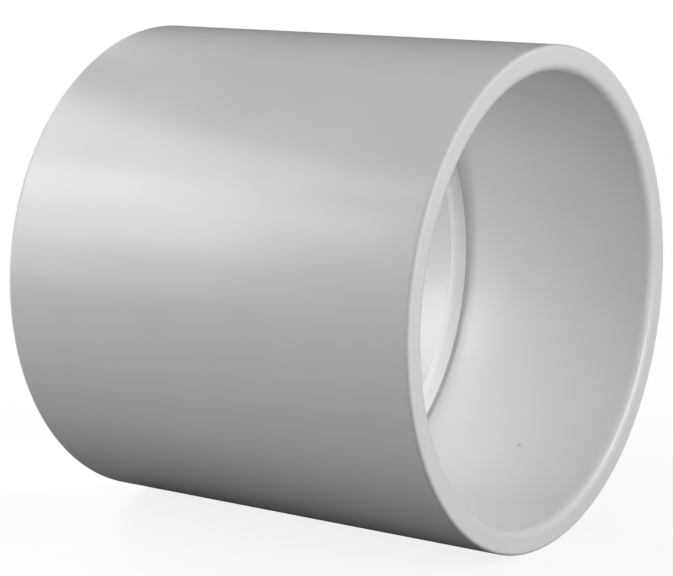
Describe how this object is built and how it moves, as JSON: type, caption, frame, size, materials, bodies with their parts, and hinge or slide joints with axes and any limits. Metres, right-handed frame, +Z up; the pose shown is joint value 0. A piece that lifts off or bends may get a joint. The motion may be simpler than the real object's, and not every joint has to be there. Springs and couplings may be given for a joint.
{
  "type": "rigid sleeve coupling",
  "caption": "Plain round grey plastic sleeve with a conduit socket at each end and a stop ring at mid length, joining conduits end to end.",
  "frame": {"origin": "middle of the part, on its axis", "axes": "+X along the axis towards the end whose mouth the picture shows, +Z up"},
  "size_m": [0.065, 0.068, 0.068],
  "materials": {
    "sleeve_pvc": "satin moulded grey PVC",
    "ring_pvc": "satin moulded light grey PVC"
  },
  "bodies": {
    "root": {"sleeve": "sleeve_pvc", "stop_ring": "ring_pvc"}
  },
  "joints": []
}
